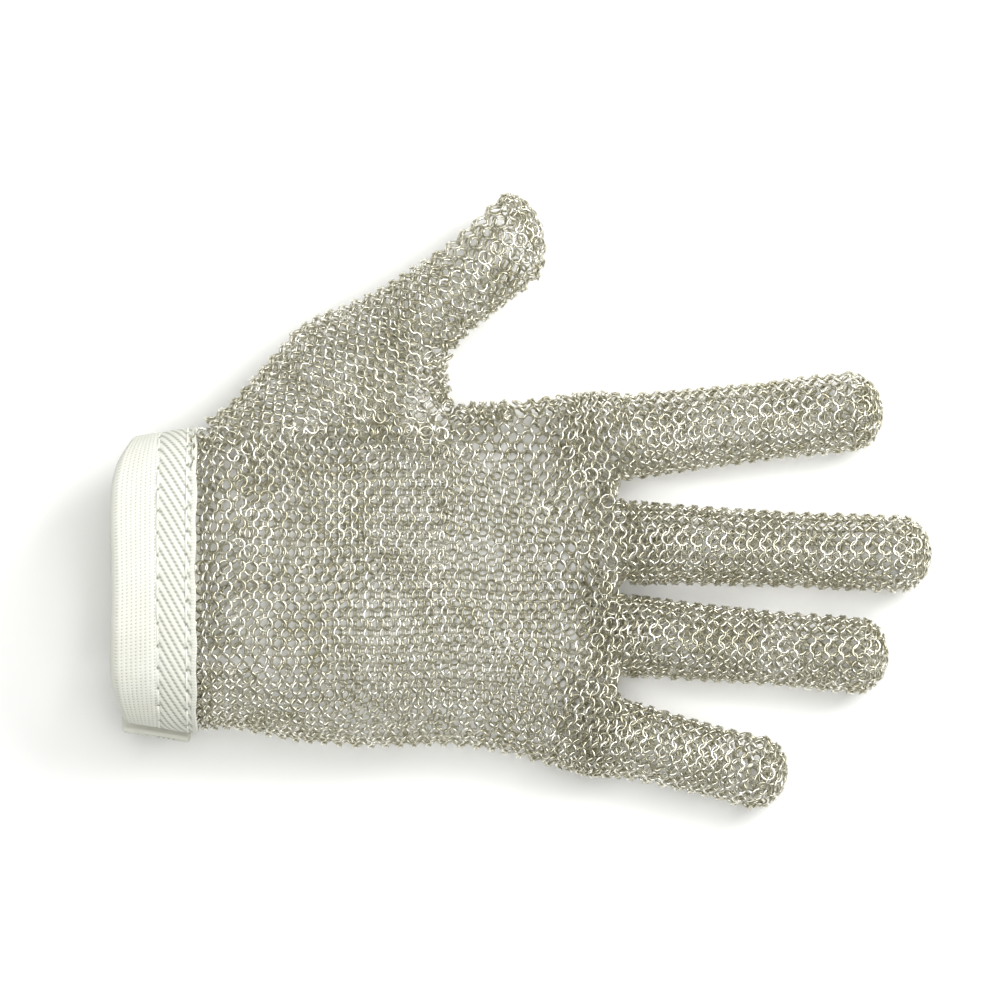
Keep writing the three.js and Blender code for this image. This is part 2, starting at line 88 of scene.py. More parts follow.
def add_node(material, kind, links=None, **settings):
    """Adds a node. A setting names a property or an input, and links maps an input to a socket."""
    tree = material.node_tree
    node = tree.nodes.new(kind)
    for key, value in settings.items():
        if hasattr(node, key):
            setattr(node, key, value)
        else:
            node.inputs[key.replace("_", " ")].default_value = value
    for key, socket in (links or {}).items():
        tree.links.new(socket, node.inputs[key])
    return node


def new_material(name):
    material = bpy.data.materials.new(name)
    material.use_nodes = True
    material.node_tree.nodes.clear()
    return material


def finish_material(material, links, **settings):
    """Puts the shader and the output on a material."""
    shader = add_node(material, "ShaderNodeBsdfPrincipled", links, **settings)
    add_node(material, "ShaderNodeOutputMaterial", {"Surface": shader.outputs[0]})
    return material


FLOOR_SIZE = 4000
table = bpy.data.meshes.new("table")
half = FLOOR_SIZE / 2 * MM
corners = [(x * half, y * half, 0) for x, y in ((-1, -1), (1, -1), (1, 1), (-1, 1))]
table.from_pydata(corners, [], [(0, 1, 2, 3)])
table_paint = new_material("white studio table")
finish_material(table_paint, {}, Base_Color=linear("#fbfbfa"), Roughness=0.9)
table.materials.append(table_paint)
floor = bpy.data.objects.new("table", table)
bpy.context.collection.objects.link(floor)

LIGHTS = [
    # name, place, size, watts
    ("finger side", (480, 330, 640), 400, 5.0),
    ("overhead", (0, 60, 900), 760, 7.2),
    ("wrist side", (-560, -200, 560), 380, 0.4),
]
for light_name, place, size, watts in LIGHTS:
    lamp = bpy.data.lights.new(light_name, "AREA")
    lamp.size = size * MM
    lamp.energy = watts
    light = bpy.data.objects.new(light_name, lamp)
    light.location = [value * MM for value in place]
    aim = -light.location.normalized()
    light.rotation_euler = aim.to_track_quat("-Z", "Y").to_euler()
    bpy.context.collection.objects.link(light)

world = bpy.data.worlds.new("studio")
world.use_nodes = True
world.node_tree.nodes["Background"].inputs[0].default_value = linear("#8c8d88")
world.node_tree.nodes["Background"].inputs[1].default_value = 0.68
bpy.context.scene.world = world
bpy.context.scene.view_settings.view_transform = "Standard"


# ---------------------------------------------------------------- shape of the glove
# The mesh follows the hand that wore it: a palm that narrows to the wrist, four fingers, and a
# thumb whose base spreads over the heel of the hand. Every ring is laid on this shape.
PALM = np.array([
    # x, thumb side, little-finger side, lowest, highest, fullness of the section
    (-99, 14.0, -52.9, 7.7, 41.9, 2.0),
    (-79.7, 17.0, -55.9, 6.2, 43.4, 2.0),
    (-70, 16.9, -56.6, 3.6, 40.6, 2.2),
    (-57, 16.9, -59.4, 1.0, 36.6, 2.4),
    (-40, 17.4, -61.2, -0.7, 33.0, 2.4),
    (-22, 21.0, -60.6, -0.8, 30.7, 2.4),
    (-14, 24.1, -61.0, -0.8, 29.4, 2.4),
    (-6, 24.2, -61.6, -0.8, 28.2, 2.4),
    (8, 25.6, -65.2, -0.6, 24.8, 2.4),
    (17, 26.6, -67.8, -0.2, 21.9, 2.4),
    (25, 26.6, -66.6, 0.9, 19.8, 2.4),
])
PALM_END = 23.5
THUMB_ORIGIN = np.array([-9.57, 57.63])
THUMB = np.array([
    # distance along the thumb, outer edge, inner edge, mid-height, half thickness
    (-86, 8, -10, 22, 13.8),
    (-78.5, 11.1, -12, 22, 13.8),
    (-69, 11.4, -18, 21, 13.8),
    (-55, 14.3, -28, 19.8, 13.8),
    (-46.6, 16.1, -34, 19.2, 13.4),
    (-40, 15.5, -36, 18.8, 13.0),
    (-32, 13.4, -30, 18.4, 12.3),
    (-27, 12.3, -22, 18.0, 11.6),
    (-23, 11.7, -15.0, 17.9, 11.2),
    (-19, 11.3, -12.4, 17.8, 10.8),
    (-13, 11.0, -11.2, 17.6, 10.4),
    (-5, 10.6, -10.9, 17.5, 10.2),
    (6, 11.5, -10.9, 17.5, 10.1),
    (13, 12.6, -10.9, 17.5, 9.9),
])
THUMB_SLANT = 0.25
THUMB_DOME = 9.3
THUMB_TIP = 8.4
FINGER_NAMES = ("index", "middle", "ring", "little")
FULLNESS = [(-0.5, 1.08), (0, 1.04), (0.5, 0.97), (0.78, 1.0), (0.9, 0.985)]
WEB_BLEND = 3.6


def node_points(node):
    """A CAD node's vertices in millimetres."""
    return np.array([vertex.co for vertex in frame["nodes"][node].data.vertices]) / MM


joints = {joint["name"]: joint for joint in frame["joints"]}


def measure_finger(name):
    """A finger's place, direction and sizes, from its base hinge and its CAD sleeves."""
    hinge = joints[f"{name}_base_bend"]
    axis = np.array(hinge["axis"])
    along = np.array([-axis[1], axis[0], 0])
    across = np.array([-along[1], along[0], 0])
    sleeve = node_points(f"{name}_proximal_mesh")
    base = np.array(hinge["pos_m"]) / MM
    base[2] = (sleeve[:, 2].min() + sleeve[:, 2].max()) / 2
    half_width = np.ptp((sleeve - base) @ across) / 2 / 1.04
    reach = ((node_points(f"{name}_distal_mesh") - base) @ along).max()
    hinges = [np.array(joints[f"{name}_{k}_bend"]["pos_m"]) / MM for k in ("base", "middle", "end")]
    bends = [(place - base) @ along for place in hinges]
    return {
        "base": base, "along": along, "across": across, "half": half_width,
        "thick": np.ptp(sleeve[:, 2]) / 2, "length": reach, "bends": bends,
    }


fingers = {name: measure_finger(name) for name in FINGER_NAMES}
thumb_axis = np.array(joints["thumb_base_bend"]["axis"])
thumb_along = np.array([-thumb_axis[1], thumb_axis[0], 0])
thumb_across = np.array([-thumb_along[1], thumb_along[0], 0])
thumb_base = np.array([THUMB_ORIGIN[0], THUMB_ORIGIN[1], 0])


def soft_min(a, b, width):
    """The lesser of two distances, rounded where they meet."""
    mix = np.clip(0.5 + 0.5 * (b - a) / width, 0, 1)
    return b * (1 - mix) + a * mix - width * mix * (1 - mix)


def outline_distance(first, second, power):
    """Distance past a rounded section; the inputs are pairs of offset and half size."""
    (u, u_half), (w, w_half) = first, second
    rho = (np.abs(u / u_half) ** power + np.abs(w / w_half) ** power) ** (1 / power)
    return np.hypot(u, w) * (1 - 1 / np.maximum(rho, 0.05))


def palm_distance(p):
    x = p[:, 0]
    high_y, low_y, low_z, high_z, power = (np.interp(x, PALM[:, 0], PALM[:, k]) for k in range(1, 6))
    side = outline_distance(
        (p[:, 1] - (high_y + low_y) / 2, (high_y - low_y) / 2),
        (p[:, 2] - (high_z + low_z) / 2, (high_z - low_z) / 2),
        power,
    )
    return -soft_min(-side, PALM_END - x, 3)


def finger_distance(p, finger):
    local = p - finger["base"]
    u = local @ finger["along"]
    v = local @ finger["across"]
    w = local[:, 2]
    fullness = np.interp(u / finger["length"], *np.array(FULLNESS).T)
    wide = finger["half"] * fullness
    tip = 0.8 * finger["half"]
    past = np.maximum(u - (finger["length"] - tip), 0)
    rho = np.sqrt((v / wide) ** 2 + (w / finger["thick"]) ** 2 + (past / tip) ** 2)
    return np.sqrt(v ** 2 + w ** 2 + past ** 2) * (1 - 1 / np.maximum(rho, 0.05))


def thumb_distance(p):
    local = p - thumb_base
    v = local @ thumb_across
    u = local @ thumb_along
    outer, inner, mid, thick = (np.interp(u, THUMB[:, 0], THUMB[:, k]) for k in range(1, 5))
    centre = (outer + inner) / 2
    past = np.maximum(u - THUMB_SLANT * v - THUMB_DOME, 0)
    flat = v - centre
    tall = local[:, 2] - mid
    rho = np.sqrt((flat / ((outer - inner) / 2)) ** 2 + (tall / thick) ** 2 + (past / THUMB_TIP) ** 2)
    body = np.sqrt(flat ** 2 + tall ** 2 + past ** 2) * (1 - 1 / np.maximum(rho, 0.05))
    return np.maximum(body, -79 - p[:, 0])


def glove_distance(p):
    """Distance outside the glove, in millimetres: negative inside."""
    away = soft_min(palm_distance(p), thumb_distance(p), 8)
    for finger in fingers.values():
        away = soft_min(away, finger_distance(p, finger), WEB_BLEND)
    return -soft_min(-away, p[:, 2], 1.5)


def slope(p):
    """Gradient of the distance."""
    step = 0.05
    columns = []
    for k in range(3):
        shift = np.zeros(3)
        shift[k] = step
        columns.append((glove_distance(p + shift) - glove_distance(p - shift)) / (2 * step))
    return np.stack(columns, axis=1)


# ---------------------------------------------------------------- ring mesh
# Welded stainless rings, 3.9 mm outside in 0.56 mm wire, woven four in one: every ring holds
# four neighbours, and the rows lean to and fro in turn. A row runs round the hand or finger.
RING_RADIUS = 1.69
WIRE_RADIUS = 0.28
WELD_SWELL = 1.22
SKIN = 1.2
STEP = 0.5
WALK_REACH = 75
RING_SIDES = 16
WIRE_SIDES = 6


def settle(points, along):
    """Moves points within their own plane onto the middle of the mesh."""
    for _ in range(3):
        grad = slope(points)
        grad -= along * np.sum(grad * along, axis=1)[:, None]
        size = np.maximum(np.sum(grad ** 2, axis=1), 0.04)
        points = points - grad * ((glove_distance(points) + SKIN) / size)[:, None]
    return points


def walk(start, along, turn, reach):
    """Walks along the surface from each start point, within the plane across `along`."""
    points = settle(start, along)
    track = [points]
    for _ in range(int(reach / STEP)):
        grad = slope(points)
        grad -= along * np.sum(grad * along, axis=1)[:, None]
        out = grad / np.linalg.norm(grad, axis=1)[:, None]
        step = np.cross(along, out) * turn * STEP
        moved = points + step
        grad_size = np.maximum(np.linalg.norm(grad, axis=1), 0.2)
        points = moved - out * ((glove_distance(moved) + SKIN) / grad_size)[:, None]
        track.append(points)
    return np.array(track)


WANDER = 0.22
wander_waves = [
    (rng.normal(0, 1, 3) / size, rng.uniform(0, 6.28), rng.normal(0, 1, 3)) for size in (5, 7, 9, 12, 16, 20)
]


def wander(p):
    """Shifts rings along the surface by a smooth drift, most where the mesh is crowded."""
    amount = np.interp(p[:, 0], [-79, -70, 2, 14, 30, 40], [0, 1, 1, 2.2, 1.8, 1]) * WANDER
    drift = sum(np.sin(p @ wave + phase)[:, None] * way for wave, phase, way in wander_waves)
    grad = slope(p)
    grad /= np.linalg.norm(grad, axis=1)[:, None]
    drift -= grad * np.sum(drift * grad, axis=1)[:, None]
    moved = p + drift * amount[:, None]
    for _ in range(2):
        grad = slope(moved)
        size = np.maximum(np.sum(grad ** 2, axis=1), 0.1)
        moved = moved - grad * ((glove_distance(moved) + SKIN) / size)[:, None]
    return moved


def weave(rows, along, top, bottom, side_z, pitch, keep, quarter=None, stretch=None):
    """Lays rings in rows.

    rows: a point inside the hand for each row. along: the direction square to all rows, or to
    each. top, bottom: start heights of the walks. side_z: height of the side of each row.
    pitch: distance between rings. quarter: rings in a quarter of each row, where it is fixed.
    keep: function of the ring centres. stretch: how much wider the middle of a row is spaced.
    Returns ring centres, row numbers and front flags.
    """
    count = len(rows)
    direction = np.array(np.broadcast_to(along, (count, 3)))
    found = []
    for front in (1, -1):
        start = rows.copy()
        start[:, 2] = top if front > 0 else bottom
        for side in (1, -1):
            tracks = walk(start, direction, -side * front, WALK_REACH)
            for i in range(count):
                track = tracks[:, i]
                turned = (track[:, 2] - side_z[i]) * front < 0
                limit = (np.argmax(turned) if turned.any() else len(track) - 1) * STEP
                rings = quarter[i] if quarter is not None else max(round(2 * limit / pitch) / 2, 0.5)
                spacing = limit / rings
                if spacing > 1.25 * pitch:
                    spacing = pitch
                first_ring = 0.25 if (i % 2 == 0) == (side == front) else 0.75
                share = (np.arange(math.ceil(rings)) + first_ring) * spacing
                if stretch is not None:
                    share = share + stretch[i] * spacing * np.sin(math.pi * share / limit)
                share = share[share < limit]
                at = share / STEP
                spots = [np.interp(at, np.arange(len(track)), track[:, axis]) for axis in range(3)]
                centre = np.stack(spots, axis=1)
                if len(centre):
                    found.append((centre, np.full(len(centre), i), np.full(len(centre), front)))
    centres = np.concatenate([item[0] for item in found])
    numbers = np.concatenate([item[1] for item in found])
    fronts = np.concatenate([item[2] for item in found])
    chosen = keep(centres)
    return wander(centres[chosen]), numbers[chosen], fronts[chosen]


def orient(centres, numbers, along, lean, disorder=2.5):
    """Two directions in the plane of each ring. Rows lean forwards and backwards in turn."""
    out = slope(centres)
    out /= np.linalg.norm(out, axis=1)[:, None]
    along = np.asarray(along)
    along = along[numbers] if along.ndim > 1 else np.broadcast_to(along, out.shape)
    across = np.cross(out, along)
    size = np.linalg.norm(across, axis=1)[:, None]
    across = np.where(size > 0.15, across / np.maximum(size, 1e-6), np.array([0, 1.0, 0]))
    forward = np.cross(across, out)
    forward /= np.linalg.norm(forward, axis=1)[:, None]
    sign = np.where(numbers % 2 == 0, 1, -1)
    spread = np.radians(disorder) * np.ones(len(centres))
    angle = (np.radians(lean) + rng.normal(0, 1, len(centres)) * spread) * sign
    first = np.cos(angle)[:, None] * forward - np.sin(angle)[:, None] * out
    roll = (rng.normal(0, 1, len(centres)) * spread)[:, None]
    second = np.cos(roll) * across + np.sin(roll) * np.cross(first, across)
    return first, second


def build_rings(name, centres, first, second):
    """One mesh of rings. Each has its weld, a slightly thicker place in the wire."""
    count = len(centres)
    turn = np.linspace(0, 2 * math.pi, RING_SIDES, endpoint=False)
    round_wire = np.linspace(0, 2 * math.pi, WIRE_SIDES, endpoint=False)
    axis = np.cross(first, second)
    start = rng.uniform(0, 2 * math.pi, (count, 1))
    angle = start + turn[None, :]
    outwards = np.cos(angle)[:, :, None] * first[:, None] + np.sin(angle)[:, :, None] * second[:, None]
    wire = np.full(RING_SIDES, WIRE_RADIUS)
    wire[0] *= WELD_SWELL
    swing = np.cos(round_wire)[None, None, :, None]
    lift = np.sin(round_wire)[None, None, :, None]
    thick = wire[None, :, None, None]
    points = (
        centres[:, None, None]
        + outwards[:, :, None] * (RING_RADIUS + thick * swing)
        + axis[:, None, None] * (thick * lift)
    )
    ring = np.arange(RING_SIDES)[:, None]
    spot = np.arange(WIRE_SIDES)[None, :]
    next_ring = (ring + 1) % RING_SIDES
    next_spot = (spot + 1) % WIRE_SIDES
    quads = np.stack([
        ring * WIRE_SIDES + spot,
        next_ring * WIRE_SIDES + spot,
        next_ring * WIRE_SIDES + next_spot,
        ring * WIRE_SIDES + next_spot,
    ], axis=-1).reshape(-1, 4)
    per_ring = RING_SIDES * WIRE_SIDES
    faces = (quads[None] + (np.arange(count) * per_ring)[:, None, None]).reshape(-1, 4)
    mesh = bpy.data.meshes.new(name)
    mesh.from_pydata((points.reshape(-1, 3) * MM).tolist(), [], faces.tolist())
    mesh.polygons.foreach_set("use_smooth", [True] * len(faces))
    tone = mesh.attributes.new("ring_tone", "FLOAT", "POINT")
    tone.data.foreach_set("value", np.repeat(rng.uniform(0, 1, count), per_ring))
    mesh.update()
    piece = bpy.data.objects.new(name, mesh)
    bpy.context.collection.objects.link(piece)
    return piece


# Bright drawn stainless wire: a hard white line of light, grey-green in the shade. Each ring's base colour
# is picked at random from a ramp, and the ramp's olive, warm cast is a painted reflection of grey-green
# and warm surroundings. The drawing marks are too fine to show, so they only break up the roughness.
steel = new_material("bright stainless wire")
ring_tone = add_node(steel, "ShaderNodeAttribute", attribute_name="ring_tone")
# Random tone per ring, tinted olive and warm as a painted reflection.
steel_tone_and_painted_reflection = add_node(steel, "ShaderNodeValToRGB", {"Fac": ring_tone.outputs["Fac"]})
steel_tone_and_painted_reflection.color_ramp.elements[0].color = linear("#bcb8a0")
steel_tone_and_painted_reflection.color_ramp.elements[1].color = linear("#f2f0e6")
steel_place = add_node(steel, "ShaderNodeTexCoord")
drawing = add_node(
    steel, "ShaderNodeTexNoise", {"Vector": steel_place.outputs["Object"]}, Scale=900.0, Detail=3.0,
)
steel_rough = add_node(
    steel, "ShaderNodeMapRange", {"Value": drawing.outputs["Fac"]}, To_Min=0.2, To_Max=0.42,
)
steel_bump = add_node(
    steel, "ShaderNodeBump", {"Height": drawing.outputs["Fac"]}, Strength=0.12, Distance=0.00005,
)
steel_links = {
    "Base Color": steel_tone_and_painted_reflection.outputs["Color"],
    "Roughness": steel_rough.outputs[0],
    "Normal": steel_bump.outputs[0],
}
finish_material(steel, steel_links, Metallic=1.0)


def steel_piece(name, rings, nodes, body=None):
    """A finished piece of ring mesh, riding on one body, or with its placing baked into the mesh."""
    piece = build_rings(name, *rings)
    piece.data.materials.append(steel)
    if nodes:
        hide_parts(*nodes)
    if body:
        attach(piece, body)
    else:
        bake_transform(piece)
    return piece


def pick(rings, chosen):
    """Some of the rings, by a flag for each."""
    return tuple(part[chosen] for part in rings)


def crease(x):
    """Y of the seam between the palm and the thumb's base."""
    return np.interp(x, [-104, -20, -14, -9, 0], [16.2, 17.8, 26, 33, 36])


def finger_share(p):
    """For each point, which finger's axis is nearest, and how far along that finger it is."""
    gaps = []
    alongs = []
    for finger in fingers.values():
        local = p - finger["base"]
        gaps.append(np.abs(local @ finger["across"]) / finger["half"])
        alongs.append(local @ finger["along"])
    nearest = np.argmin(gaps, axis=0)
    return nearest, np.choose(nearest, alongs)


# Edge of the web between the thumb and the index finger, seen from above. Rings within WEB_WIDTH
# of it are laid along the edge, with the thumb.
WEB = np.array([
    (-20.5, 35.0), (-20.4, 31.0), (-19.3, 27.7), (-16.3, 25.6), (-12.2, 24.5), (-6.6, 23.9), (-2, 24.0),
])
WEB_SPACING = 1.35
WEB_PITCH = 3.6
WEB_WIDTH = 3.2
WEB_GAP = 2.4
WEB_INSET = 4.5
WEB_START = 15.0
WEB_TOP, WEB_MIDDLE, WEB_BOTTOM = 26.0, 14.0, 4.0
CREASE_GAP = 0.9

web_length = np.concatenate([[0], np.cumsum(np.hypot(*np.diff(WEB, axis=0).T))])
web_at = np.arange(0, web_length[-1], WEB_SPACING)
web_edge = np.column_stack([np.interp(web_at, web_length, WEB[:, k]) for k in range(2)])


def from_web(p):
    """Distance in plan from the edge between the thumb and the index finger."""
    gaps = [np.hypot(p[:, 0] - x, p[:, 1] - y) for x, y in web_edge]
    return np.min(gaps, axis=0)


# ---------------------------------------------------------------- palm and back
# Two panels woven as one piece with their rows across the hand. The rows are crowded beside the
# tape, even over the palm, and crowded again at the knuckles.
KNUCKLE_X = {"index": 12.5, "middle": 16.5, "ring": 13.5, "little": 8.5}
KNUCKLE_GAP = 0.7
PALM_MIDDLE_Y = -20
PALM_PITCH = 4.2
PALM_QUARTER = 10.5


def stations(start, end, spacing):
    """Places from start to end, each one spacing (a function) after the last."""
    places = [start]
    while places[-1] < end:
        places.append(places[-1] + spacing(places[-1]))
    return np.array(places)


def palm_spacing(x):
    """Distance between rows: close beside the tape and at the knuckles."""
    places = [-84, -78, -74, -60, -15, 2, 11, 24]
    return float(np.interp(x, places, [1.15, 1.15, 1.65, 1.75, 1.85, 1.8, 1.45, 1.25]))


palm_x = stations(-84.5, 22, palm_spacing)
palm_rows = np.stack([palm_x, np.full(len(palm_x), PALM_MIDDLE_Y), np.zeros(len(palm_x))], axis=1)
palm_low = np.interp(palm_x, PALM[:, 0], PALM[:, 3])
palm_high = np.interp(palm_x, PALM[:, 0], PALM[:, 4])
palm_side_z = (palm_low + palm_high) / 2
KNUCKLE_START = {name: (KNUCKLE_X[name] - fingers[name]["base"][0]) for name in FINGER_NAMES}

SLIT_ANGLE = math.radians(240)
SLIT_WAY = np.array([0, math.cos(SLIT_ANGLE), math.sin(SLIT_ANGLE)])
SLIT_END_X = -62
SLIT_POINT = np.array([0, -38.4, 7.5])


def in_slit(p):
    """True for rings in the opening of the wrist, which lies under the closing tab."""
    local = p - SLIT_POINT
    aside = np.abs(local @ np.cross(SLIT_WAY, [1.0, 0, 0]))
    reach = np.interp(p[:, 0], [-101, SLIT_END_X], [2.6, 1.2])
    return (aside < reach) & (local @ SLIT_WAY > -12) & (p[:, 0] < SLIT_END_X)


def keep_palm(p):
    """True for rings short of the thumb's seam, the knuckles, the slit and the web."""
    nearest, along = finger_share(p)
    first_row = np.choose(nearest, [KNUCKLE_START[name] for name in FINGER_NAMES])
    on_palm = (p[:, 1] < crease(p[:, 0]) - CREASE_GAP) & (along < first_row - KNUCKLE_GAP)
    return on_palm & ~in_slit(p) & (from_web(p) > WEB_GAP)


X_WAY = np.array([1.0, 0, 0])
palm_centres, palm_numbers, palm_fronts = weave(
    palm_rows, X_WAY, palm_high - 1.5, np.maximum(palm_low, 0) + 1.5, palm_side_z, PALM_PITCH, keep_palm,
    quarter=np.full(len(palm_x), PALM_QUARTER), stretch=np.interp(palm_x, [-84, -45], [0.5, 0.0]),
)
palm_lean = np.interp(palm_centres[:, 0], [-84, -78, -74, -50, 2, 12], [48, 46, 26, 28, 30, 38])
palm_disorder = np.interp(palm_centres[:, 0], [0, 14], [2.5, 9])
palm_rings = (palm_centres, *orient(palm_centres, palm_numbers, X_WAY, palm_lean, palm_disorder))

PANEL_SPLIT_X = -38
for panel, node, front in (("palm", "palm_mesh", 1), ("back", "back_mesh", -1)):
    for part, inside in (
        ("wrist", palm_centres[:, 0] < PANEL_SPLIT_X),
        ("finger", palm_centres[:, 0] >= PANEL_SPLIT_X),
    ):
        chosen = pick(palm_rings, (palm_fronts == front) & inside)
        steel_piece(f"{panel}_rings_{part}_half", chosen, [node] if part == "wrist" else [], "hand")


# ---------------------------------------------------------------- fingers
# A sleeve woven round each finger, fourteen rings to a row. The first rows are crowded into the
# knuckles, and the rows close in on themselves over the tip.
FINGER_PITCH = 3.9
FINGER_QUARTER = 3.5
ROW_SPACING = 1.75
TIP_TURN = 1.38
BEND_LENGTH = 13


def finger_rows(finger, first):
    """Distances of the rows along a finger, even along the surface over the rounded tip."""
    tip = 0.8 * finger["half"]
    straight = finger["length"] - tip

    def spacing(u):
        return float(np.interp(u, [first, first + 9, first + 20], [1.15, 1.3, 1.8]))

    body = stations(first, straight - 1.8, spacing)
    turns = np.arange(1, 12) * ROW_SPACING / finger["half"]
    turns = turns[turns < TIP_TURN]
    return np.concatenate([body, straight + (tip - SKIN) * np.sin(turns)])


def rings_round_finger(finger, first, keep):
    """The rings of one finger, and each ring's distance along it."""
    u = finger_rows(finger, first)
    rows = finger["base"] + u[:, None] * finger["along"]
    inner_half = finger["half"] - SKIN
    inner_thick = finger["thick"] - SKIN
    tip = 0.8 * finger["half"]
    past = np.clip((u - (finger["length"] - tip)) / (tip - SKIN), 0, 0.999)
    shrink = np.sqrt(1 - past ** 2)
    girth = math.pi / 2 * (inner_half + inner_thick) / 2 * shrink
    quarter = np.maximum(np.round(2 * girth / FINGER_PITCH) / 2, 0.5)
    quarter = np.where(u < finger["length"] - tip, FINGER_QUARTER, quarter)
    height = (finger["thick"] - 1.5) * shrink
    middle = np.full(len(u), finger["base"][2])
    centres, numbers = [], []
    for part in (rows[:, 0] < PALM_END + 2, rows[:, 0] >= PALM_END + 2):
        found, number, _ = weave(
            rows[part], finger["along"], (middle + height)[part], (middle - height)[part], middle[part],
            FINGER_PITCH, keep, quarter=None if rows[part][0, 0] < PALM_END + 2 else quarter[part],
        )
        centres.append(found)
        numbers.append(number + np.argmax(part))
    centres, numbers = np.concatenate(centres), np.concatenate(numbers)
    place = (centres - finger["base"]) @ finger["along"]
    lean = np.interp(place, [first, first + 9, first + 20], [38, 34, 22])
    disorder = np.interp(place, [first, first + 8, first + 18], [10, 6, 2.5])
    return (centres, *orient(centres, numbers, finger["along"], lean, disorder)), place


for number, (name, finger) in enumerate(fingers.items()):
    first = KNUCKLE_START[name]

    def keep_finger(p, number=number, finger=finger):
        nearest, _ = finger_share(p)
        return (nearest == number) & ((p[:, 1] < crease(p[:, 0])) | (p[:, 0] > 0))

    rings, place = rings_round_finger(finger, first, keep_finger)
    cuts = [-100, *[(finger["bends"][k] + finger["bends"][k + 1]) / 2 for k in (0, 1)], 200]
    for k, segment in enumerate(("proximal", "middle", "distal")):
        chosen = (place >= cuts[k]) & (place < cuts[k + 1])
        steel_piece(
            f"{name}_{segment}_rings", pick(rings, chosen), [f"{name}_{segment}_mesh"],
        )


# ---------------------------------------------------------------- thumb
# The thumb's sleeve runs on over the heel of the hand as its base, with its rows still square to
# the thumb, and ends at the seam on the palm. It is crowded in the fork beside the index finger.
THUMB_PITCH = 4.1
THUMB_MIDDLE = 0.85
THUMB_FAN = math.atan(THUMB_SLANT)
THUMB_ROUND = 10.2
THUMB_GIRTH = 15.2
THUMB_SLEEVE = -17
THUMB_START_X = -80.2


def thumb_spacing(u):
    """Distance between rows: close in the fork beside the index finger."""
    return float(np.interp(u, [-60, -30, -18, -8], [1.85, 1.65, 1.5, 1.85]))


straight_u = stations(-76, THUMB_DOME - 1.6, thumb_spacing)
tip_turns = np.arange(1, 12) * ROW_SPACING / THUMB_ROUND
tip_turns = tip_turns[tip_turns < TIP_TURN]
tip_past = (THUMB_TIP - SKIN) * np.sin(tip_turns)
thumb_u = np.concatenate([straight_u, THUMB_DOME + THUMB_SLANT * THUMB_MIDDLE + tip_past])
thumb_turn = THUMB_FAN * np.clip((thumb_u + 8) / (THUMB_DOME + 8), 0, 1)
thumb_ways = np.cos(thumb_turn)[:, None] * thumb_along - np.sin(thumb_turn)[:, None] * thumb_across
thumb_mid, thumb_thick = (np.interp(thumb_u, THUMB[:, 0], THUMB[:, k]) for k in (3, 4))
start_v = np.interp(thumb_u, [-30, -18], [1, THUMB_MIDDLE])
thumb_rows = thumb_base + thumb_u[:, None] * thumb_along + start_v[:, None] * thumb_across
thumb_shrink = np.concatenate([np.ones(len(straight_u)), np.cos(tip_turns)])
thumb_high = thumb_mid + (thumb_thick - 1.5) * thumb_shrink
thumb_low = thumb_mid - (thumb_thick - 1.5) * thumb_shrink
thumb_quarter = np.maximum(np.round(2 * THUMB_GIRTH * thumb_shrink / THUMB_PITCH) / 2, 0.5)


def keep_thumb(p):
    """True for rings past the seam, clear of the tape and the web."""
    on_thumb = (p[:, 1] > crease(p[:, 0]) + CREASE_GAP) & (p[:, 0] > THUMB_START_X)
    return on_thumb & (from_web(p) > WEB_GAP)


thumb_parts = []
for part, fixed in ((thumb_u < THUMB_SLEEVE, False), (thumb_u >= THUMB_SLEEVE, True)):
    found, number, _ = weave(
        thumb_rows[part], thumb_ways[part], thumb_high[part], thumb_low[part], thumb_mid[part], THUMB_PITCH,
        keep_thumb, quarter=thumb_quarter[part] if fixed else None,
    )
    thumb_parts.append((found, number + np.argmax(part)))
thumb_centres, thumb_numbers = (np.concatenate(items) for items in zip(*thumb_parts))
thumb_place = (thumb_centres - thumb_base) @ thumb_along
thumb_lean = np.interp(thumb_place, [-60, -30, -18, -5], [24, 30, 34, 25])
thumb_rings = (thumb_centres, *orient(thumb_centres, thumb_numbers, thumb_ways, thumb_lean))
thumb_hinges = [np.array(joints[f"thumb_{k}_bend"]["pos_m"]) / MM for k in ("base", "end")]
thumb_bends = [(hinge - thumb_base) @ thumb_along for hinge in thumb_hinges]
thumb_cuts = [-200, thumb_bends[0] - BEND_LENGTH / 2, sum(thumb_bends) / 2, 200]
steel_piece(
    "thumb_base_rings", pick(thumb_rings, thumb_place < thumb_cuts[1]), ["thumb_base_mesh"], "hand",
)

# The edge between the thumb and the index finger, where the mesh is folded tight.
web_ways = np.gradient(web_edge, axis=0)
web_ways /= np.linalg.norm(web_ways, axis=1)[:, None]
web_ways = np.column_stack([web_ways, np.zeros(len(web_ways))])
web_inwards = np.column_stack([web_ways[:, 1], -web_ways[:, 0], np.zeros(len(web_ways))])
web_rows = np.column_stack([web_edge, np.full(len(web_edge), WEB_START)]) + WEB_INSET * web_inwards
web_centres, web_numbers, _ = weave(
    web_rows, web_ways, WEB_TOP, WEB_BOTTOM, np.full(len(web_rows), WEB_MIDDLE), WEB_PITCH,
    lambda p: from_web(p) < WEB_WIDTH,
)
web_rings = (web_centres, *orient(web_centres, web_numbers, web_ways, 40, 8))
steel_piece("thumb_web_rings", web_rings, [], "hand")

for k, segment in enumerate(("proximal", "distal")):
    chosen = (thumb_place >= thumb_cuts[k + 1]) & (thumb_place < thumb_cuts[k + 2])
    steel_piece(
        f"thumb_{segment}_rings", pick(thumb_rings, chosen), [f"thumb_{segment}_mesh"],
    )


# ---------------------------------------------------------------- seam rings
# Rows of single rings that close the crease between the palm and the thumb's base. One runs on
# the palm side and one on the back, each ring leaning against the next.
SEAM_PITCH = 2.6
SEAM_LEAN = 40
LEVELS = 200


